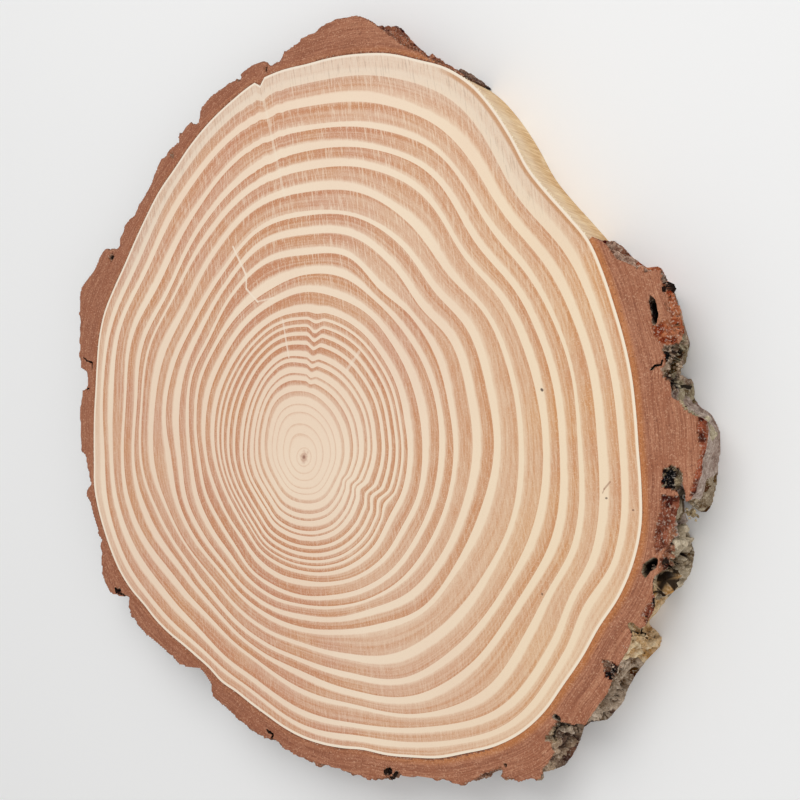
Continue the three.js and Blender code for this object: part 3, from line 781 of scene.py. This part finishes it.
def trimTop(piece):
    # drops what the cuts leave standing above the sawn face
    shape = bmesh.new()
    shape.from_mesh(piece.data)
    high = [vertex for vertex in shape.verts if vertex.co.z > (top + 1) * mm]
    bmesh.ops.delete(shape, geom=high, context="VERTS")
    shape.to_mesh(piece.data)
    shape.free()


def jagged(points, chance, spacing, shake):
    # a path with extra, slightly moved corners, each point an x, a y and perhaps a width
    path = []
    for first, last in zip(points, points[1:]):
        first, last = np.array(first, float), np.array(last, float)
        parts = max(1, round(math.dist(first[:2], last[:2]) / spacing))
        for k in range(parts):
            point = first + (last - first) * k / parts
            point[:2] += chance.uniform(-shake, shake, 2)
            path.append(point)
    return path + [np.array(points[-1], float)]


def crackBlocks(start, end):
    chance = np.random.default_rng(11)
    blocks = []
    for crack in cracks:
        corners = crack.get("outline") or crack["line"]
        points = [(*spot(*corner[:2]), *corner[2:]) for corner in corners]
        if "outline" in crack:
            outline = [tuple(point) for point in jagged(points + points[:1], chance, 0.7, 0.1)[:-1]]
        else:
            path = jagged(points, chance, 0.6, 0.2)
            left, right = [], []
            for k, point in enumerate(path):
                run = path[min(k + 1, len(path) - 1)][:2] - path[max(k - 1, 0)][:2]
                side = np.array((-run[1], run[0])) / math.hypot(*run) * point[2] / 2 * chance.uniform(0.75, 1.25)
                left.append(tuple(point[:2] + side))
                right.append(tuple(point[:2] - side))
            outline = left + right[::-1]
        if start - 0.5 < (corners[0][0] - 45) % 360 + 45 < end + 0.5:
            blocks.append(prism(outline, crack["floor"], top + 2))
    return blocks


def insideDistance(x, y, outline):
    # distance in from the edge of an outline, below nought outside it
    away = np.full(len(x), 1e9)
    inside = np.zeros(len(x), bool)
    for (ax, ay), (bx, by) in zip(outline, outline[1:] + outline[:1]):
        runX, runY = bx - ax, by - ay
        share = np.clip(((x - ax) * runX + (y - ay) * runY) / (runX * runX + runY * runY), 0, 1)
        away = np.minimum(away, np.hypot(x - ax - share * runX, y - ay - share * runY))
        crosses = (ay > y) != (by > y)
        inside ^= crosses & (x < ax + (y - ay) * runX / (runY if runY else 1e-9))
    return np.where(inside, away, -away)


def tornFace(points):
    # height the bark reaches at each point, and which tear, if any, covers it
    ceiling = np.full(len(points), top - bark["lift"])
    owner = np.full(len(points), -1)
    for index, tear in enumerate(tears):
        outline = [spot(*corner) for corner in tear["corners"]]
        centre = np.mean(outline, axis=0)
        reach = max(math.dist(centre, corner) for corner in outline) + 2
        near = np.nonzero((np.hypot(points[:, 0] - centre[0], points[:, 1] - centre[1]) < reach)
                          & (points[:, 2] > 8))[0]
        if not len(near):
            continue
        x, y = points[near, 0], points[near, 1]
        shake = np.array([noise.noise(Vector((a, b, index * 5.0)) / 1.1) for a, b in zip(x, y)])
        inner = insideDistance(x, y, outline) + 0.5 * shake
        bumps = np.array([noise.fractal(Vector((a, b, index * 7.0)) / 1.6, 0.7, 2.1, 3) for a, b in zip(x, y)])
        dip = smooth(0, 0.7, inner) * np.maximum(0.2, tear["depth"] + tear["rough"] * bumps)
        deeper = (inner > 0) & (ceiling[near] > top - bark["lift"] - dip)
        ceiling[near[deeper]] = top - bark["lift"] - dip[deeper]
        owner[near[deeper]] = index
    return ceiling, owner


def flake(here, size):
    # middle of the flake over this place, a number of its own, and how near its edge is
    gaps, middles = noise.voronoi(here / size)
    return middles[0] * size, noise.cell(middles[0] * 31.7), gaps[1] - gaps[0]


def crustStretch(bearing):
    for row in reversed(bark["crust"]):
        if bearing % 360 >= row[0]:
            return row


def crustSurface(points, normals, inward):
    # how far each point moves along its normal, its two flake numbers and the bearing of its plate
    plates = bark["plates"]
    flakes = bark["flakes"]
    moves = np.zeros(len(points))
    own = np.zeros((len(points), 3))
    wall = 1 - smooth(0.4, 0.85, np.abs(normals[:, 2]))
    # only the outer wall is rough, not the walls of holes and gaps further in
    bearings, radii = polar(points)
    outer = np.zeros(360)
    np.maximum.at(outer, bearings.astype(int), radii)
    weight = wall * smooth(0.3, 2.2, inward) * smooth(*bark["wallDepth"], outer[bearings.astype(int)] - radii)
    for i in range(len(points)):
        x, y, z = points[i]
        here = Vector((x, y, z * 0.6))
        bent = here + 1.5 * noise.noise_vector(here / 4)
        middle, plate, edge = flake(bent, plates["size"])
        bearing = math.degrees(math.atan2(middle.y - pith[1], middle.x - pith[0]))
        own[i] = (plate, 0, bearing + 5 * (plate - 0.5))
        small = here + 0.5 * noise.noise_vector(here / 1.5)
        smallMiddle, chip, smallEdge = flake(small, flakes["size"])
        own[i, 1] = chip
        if weight[i] < 0.001:
            continue
        rough = crustStretch(bearing)[3]
        height = (plate - 0.5) * plates["step"] - max(0, 1 - edge / 0.14) * plates["groove"]
        height += (bent - middle).dot(noise.noise_vector(middle / 3)) * plates["tilt"]
        height += (chip - 0.5) * flakes["step"] - max(0, 1 - smallEdge / 0.2) * flakes["groove"]
        height += (small - smallMiddle).dot(noise.noise_vector(smallMiddle / 2)) * flakes["tilt"]
        height += noise.fractal(Vector((x, y, z)) / bark["crumbs"]["size"], 0.8, 2.2, 2) * bark["crumbs"]["depth"]
        moves[i] = height * rough
    return moves * weight, own


def crustTint(own, owner):
    tint = np.empty((len(own), 4))
    stretches = {}
    for i, (plate, chip, bearing) in enumerate(own):
        if owner[i] >= 0:
            dark, light = tears[owner[i]]["colours"]
        else:
            dark, light = crustStretch(bearing)[1:3]
        if (dark, light) not in stretches:
            stretches[dark, light] = np.array(srgb(*dark)), np.array(srgb(*light))
        low, high = stretches[dark, light]
        tint[i] = low + (high - low) * (0.65 * chip + 0.35 * plate)
    return tint


def vertexNormals(mesh):
    flat = np.empty(len(mesh.vertices) * 3)
    mesh.vertices.foreach_get("normal", flat)
    return flat.reshape(-1, 3)


def openness(mesh):
    # share of short rays that leave each point freely: low in cracks and crevices, where the bark finishes paint shade
    # from it
    tree = BVHTree.FromPolygons([v.co for v in mesh.vertices], [p.vertices for p in mesh.polygons])
    golden = math.pi * (3 - math.sqrt(5))
    spread = []
    for k in range(bark["rays"]):
        height = 0.25 + 0.75 * (k + 0.5) / bark["rays"]
        reach = math.sqrt(1 - height * height)
        spread.append((reach * math.cos(k * golden), reach * math.sin(k * golden), height))
    free = np.empty(len(mesh.vertices))
    distance = bark["reach"] * mm
    for i, vertex in enumerate(mesh.vertices):
        normal = vertex.normal
        side = normal.orthogonal().normalized()
        other = normal.cross(side)
        start = vertex.co + normal * 0.05 * mm
        hits = 0
        for a, b, c in spread:
            if tree.ray_cast(start, side * a + other * b + normal * c, distance)[0] is not None:
                hits += 1
        free[i] = 1 - hits / len(spread)
    return free


def barkLength(name):
    length = bark["lengths"][name]
    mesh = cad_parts["bark"].data.copy()
    mesh.materials.clear()
    piece = bpy.data.objects.new(name, mesh)
    scene.collection.objects.link(piece)
    makeActive(piece)
    bpy.ops.object.mode_set(mode="EDIT")
    bpy.ops.mesh.select_all(action="SELECT")
    bpy.ops.mesh.remove_doubles(threshold=1e-6)
    bpy.ops.object.mode_set(mode="OBJECT")
    points = meshPoints(mesh)
    bearings, radii = polar(points)
    inner = radii - rimRadius(bearings) < 0.45
    share = np.where(inner, 1 - bark["overlap"] / radii, 1)[:, None]
    points[:, :2] = pith + (points[:, :2] - pith) * share
    setPoints(mesh, points)
    cut(piece, sector(length["from"] - 2, length["to"] + 2), "INTERSECT", "EXACT")
    if name == "barkRight":
        for underside, outline in fills:
            cut(piece, prism([spot(*corner) for corner in outline], underside, top - 0.05), "UNION", "EXACT")
    applyModifier(piece, "fine", "REMESH", mode="VOXEL", voxel_size=length["voxel"] * mm)
    cut(piece, sector(length["from"], length["to"]), "INTERSECT", "EXACT")
    mesh = piece.data
    print(name, "remeshed", len(mesh.polygons))
    points = meshPoints(mesh)
    normals = vertexNormals(mesh)
    bearings, radii = polar(points)
    inward = radii - rimRadius(bearings)
    moves, own = crustSurface(points, normals, inward)
    shifts = normals * moves[:, None]
    tree = KDTree(len(points))
    for i, point in enumerate(points):
        tree.insert(point, i)
    tree.balance()
    for block in crackBlocks(length["from"], length["to"]):
        cut(piece, block, "DIFFERENCE", "FAST")
    trimTop(piece)
    mesh = piece.data
    points = meshPoints(mesh)
    found = [tree.find(point) for point in points]
    nearest = np.array([index for _, index, _ in found])
    fresh = np.array([gap for _, _, gap in found]) > 0.02
    points += shifts[nearest]
    ceiling, owner = tornFace(points)
    owner[points[:, 2] < ceiling - 0.05] = -1
    points[:, 2] = np.clip(points[:, 2], 0, ceiling)
    low, high = (np.array(corner) / mm for corner in cadBox)
    points = np.clip(points, low, high)
    setPoints(mesh, points)
    bearings, radii = polar(points)
    setAttribute(mesh, "inward", radii - rimRadius(bearings))
    setAttribute(mesh, "open", openness(mesh))
    # marks the walls and floors left by the crack cuts, outside tears, where the crust finish paints shade
    setAttribute(mesh, "deep", fresh & (owner < 0))
    flat = top - bark["lift"]
    tint = crustTint(own[nearest], owner)
    tint[(points[:, 2] > flat - 0.25) & (owner < 0)] = srgb(*bark["lip"])
    layer = mesh.attributes.new("tint", "FLOAT_COLOR", "POINT")
    layer.data.foreach_set("color", tint.astype(np.float32).ravel())
    sawn = ((points[:, 2] > flat - 0.12) & (owner < 0)) | (points[:, 2] < 0.12)
    kinds = [0 if all(sawn[k] for k in polygon.vertices) else 1 for polygon in mesh.polygons]
    mesh.materials.clear()
    mesh.materials.append(barkFaceFinish())
    mesh.materials.append(crustFinish())
    mesh.polygons.foreach_set("material_index", np.array(kinds, np.int32))
    makeActive(piece)
    bpy.ops.object.shade_smooth_by_angle(angle=math.radians(40))
    finishPiece(piece, "bark", "bark")
    print(name, len(mesh.polygons), "faces")


finishes = {}


def barkFaceFinish():
    if "face" in finishes:
        return finishes["face"]
    finish = Finish("barkFace")
    place = finish.place()
    x, y, z = finish.separate(finish.vector("SUBTRACT", place, (*pith, 0)))
    inward = finish.attribute("inward")
    free = finish.attribute("open")
    wavy = inward + (finish.noise(place, 0.07, 3) - 0.5) * 2.4
    lines = finish.noise(finish.combine(wavy * 3.0, x / 12, y / 12), 1, 3, 0.65)
    layers = finish.noise(finish.combine(wavy * 0.5, x / 60, y / 60), 1, 2, 0.5)
    mottle = finish.noise(place, 0.16, 4, 0.6)
    grit = finish.noise(place, 2.1, 3, 0.7)
    colour = finish.mix(finish.step(0.36, 0.64, lines), srgb(150, 90, 61), srgb(186, 125, 93))
    colour = finish.mix(finish.step(0.58, 0.66, layers, 0, 0.3), colour, srgb(204, 146, 110))
    colour = finish.mix(finish.step(0.42, 0.34, layers, 0, 0.35), colour, srgb(142, 82, 56))
    colour = finish.mix(finish.step(0.45, 0.7, mottle, 0, 0.5), colour, srgb(158, 92, 60))
    cambium = finish.step(2.8, 0.8, inward) * finish.step(10, 70, x, 0.1, 0.6)
    colour = finish.mix(finish.step(60, -20, x, 0, 0.3), colour, srgb(138, 76, 50))
    colour = finish.mix(cambium, colour, srgb(204, 128, 66))
    colour = finish.mix(finish.step(0.55, 0.66, grit, 0, 0.55), colour, srgb(226, 176, 142))
    colour = finish.mix(finish.step(0.44, 0.33, grit, 0, 0.6), colour, srgb(100, 54, 37))
    # painted shade: the face darkens towards (46, 28, 20) where few short rays leave, in cracks and crevices
    colour = finish.mix(finish.step(0.62, 0.15, free, 0, 0.9), colour, srgb(46, 28, 20))
    finishes["face"] = finish.surface(colour, 0.8, grit * 0.8 + lines * 0.4, 0.2)
    return finishes["face"]


def crustFinish():
    if "crust" in finishes:
        return finishes["crust"]
    finish = Finish("barkCrust")
    place = finish.place()
    free = finish.attribute("open")
    tint = finish.node("ShaderNodeAttribute", {"attribute_name": "tint"}, result=0)
    mottle = finish.noise(place, 0.6, 4, 0.65)
    grit = finish.noise(place, 1.5, 4, 0.7)
    shaded = finish.mix(1.0, tint, (0.6, 0.56, 0.52, 1), "MULTIPLY")
    colour = finish.mix(finish.step(0.38, 0.6, mottle, 0.3, 1), shaded, tint)
    pale = finish.mix(0.6, tint, srgb(255, 242, 222))
    colour = finish.mix(finish.step(0.53, 0.64, grit, 0, 0.6), colour, pale)
    colour = finish.mix(finish.step(0.43, 0.34, grit, 0, 0.65), colour, srgb(62, 41, 30))
    # painted shade: the crust darkens towards near black where few short rays leave, in cracks and crevices
    colour = finish.mix(finish.step(0.5, 0.08, free, 0, 0.95), colour, srgb(28, 17, 12))
    # painted shade: walls and floors of cracks and holes are painted near black
    colour = finish.mix(finish.attribute("deep") * 0.95, colour, srgb(*bark["inside"]))
    rough = finish.step(0.3, 0.7, grit, 0.8, 0.92)
    height = grit + mottle * 0.5
    finishes["crust"] = finish.surface(colour, rough, height, 0.5, **{"Specular IOR Level": 0.15})
    return finishes["crust"]


# Crumbs and loose chips of bark in the cracks and on the torn places

crumbs = {
    # bearing, radius, height, spread, how many, smallest and largest, two colours
    "sites": [
        (357.0, 125.4, 14.0, 0.8, 10, (0.3, 0.8), ((110, 92, 68), (186, 166, 132))),
        (356.2, 126.8, 14.4, 1.3, 26, (0.4, 1.1), ((104, 88, 64), (190, 170, 134))),
        (355.4, 128.4, 13.6, 1.3, 18, (0.4, 1.2), ((96, 78, 58), (170, 146, 112))),
        (354.2, 130.6, 11.0, 1.2, 12, (0.5, 1.2), ((80, 62, 48), (130, 106, 80))),
        (352.4, 133.4, 13.0, 1.4, 20, (0.5, 1.3), ((120, 100, 72), (190, 168, 130))),
        (11.6, 129.6, 14.6, 1.3, 14, (0.4, 1.0), ((110, 90, 72), (186, 158, 130))),
        (9.8, 131.4, 15.2, 1.6, 14, (0.4, 1.0), ((118, 96, 78), (196, 168, 138))),
        (7.1, 125.2, 14.8, 0.8, 9, (0.4, 0.9), ((120, 84, 66), (196, 148, 122))),
        (7.3, 128.6, 14.0, 0.9, 9, (0.4, 1.0), ((104, 80, 62), (180, 150, 122))),
        (344.9, 124.8, 13.6, 1.0, 8, (0.4, 0.9), ((90, 66, 54), (190, 160, 140))),
        (346.6, 129.2, 15.0, 2.0, 22, (0.4, 1.1), ((110, 72, 52), (176, 124, 92))),
        (330.4, 120.9, 16.7, 1.4, 12, (0.25, 0.5), ((196, 150, 126), (236, 206, 186))),
        (331.6, 124.0, 16.6, 1.6, 16, (0.3, 0.7), ((150, 100, 76), (232, 200, 176))),
        (334.6, 125.6, 16.7, 0.9, 7, (0.25, 0.5), ((196, 150, 126), (236, 206, 186))),
        (320.6, 118.6, 13.5, 0.8, 7, (0.4, 0.8), ((90, 70, 56), (170, 144, 116))),
        (139.6, 121.4, 14.6, 1.3, 12, (0.4, 0.9), ((116, 98, 82), (186, 164, 140))),
        (209.0, 97.6, 14.0, 1.0, 7, (0.3, 0.8), ((86, 60, 48), (150, 112, 88))),
    ],
    "squash": 0.75,
}


def looseCrumbs():
    chance = np.random.default_rng(23)
    bpy.ops.mesh.primitive_ico_sphere_add(subdivisions=2, radius=0.5)
    piece = bpy.context.active_object
    piece.name = "looseCrumbs"
    ball = np.array([vertex.co for vertex in piece.data.vertices])
    sides = np.array([polygon.vertices for polygon in piece.data.polygons])
    points, faces, tints = [], [], []
    for bearing, radius, height, spread, count, sizes, colours in crumbs["sites"]:
        dark, light = (np.array(srgb(*colour)) for colour in colours)
        for k in range(count):
            size = chance.uniform(*sizes)
            stretch = size * chance.uniform(0.6, 1.3, 3) * (1, 1, crumbs["squash"])
            lumps = np.array([1 + 0.9 * noise.noise(Vector(corner) * 2.2 + Vector((k, bearing, radius))) for corner in ball])
            spin = np.array(Matrix.Rotation(chance.uniform(0, 6.28), 3, Vector(chance.uniform(-1, 1, 3))))
            centre = np.array((*spot(bearing, radius), height)) + chance.normal(0, 0.5, 3) * (spread, spread, 0.5)
            centre[2] = min(centre[2], top - 0.15)
            chip = (ball * lumps[:, None] * stretch) @ spin.T + centre
            chip[:, 2] = np.minimum(chip[:, 2], top)
            faces.append(sides + len(points) * len(ball))
            points.append(chip)
            tints.append(np.tile(dark + (light - dark) * chance.uniform(0, 1), (len(ball), 1)))
    mesh = bpy.data.meshes.new("looseCrumbs")
    mesh.from_pydata((np.vstack(points) * mm).tolist(), [], np.vstack(faces).tolist())
    piece.data = mesh
    layer = mesh.attributes.new("tint", "FLOAT_COLOR", "POINT")
    layer.data.foreach_set("color", np.vstack(tints).astype(np.float32).ravel())
    setAttribute(mesh, "open", np.ones(len(mesh.vertices)))
    mesh.materials.append(crustFinish())
    finishPiece(piece, "bark", "bark")
    print("loose crumbs", len(mesh.polygons), "faces")


makeCamera()
makeStudio()
print("stage ready")
woodDisc()
frayedRim()
for name in bark["lengths"]:
    barkLength(name)
looseCrumbs()
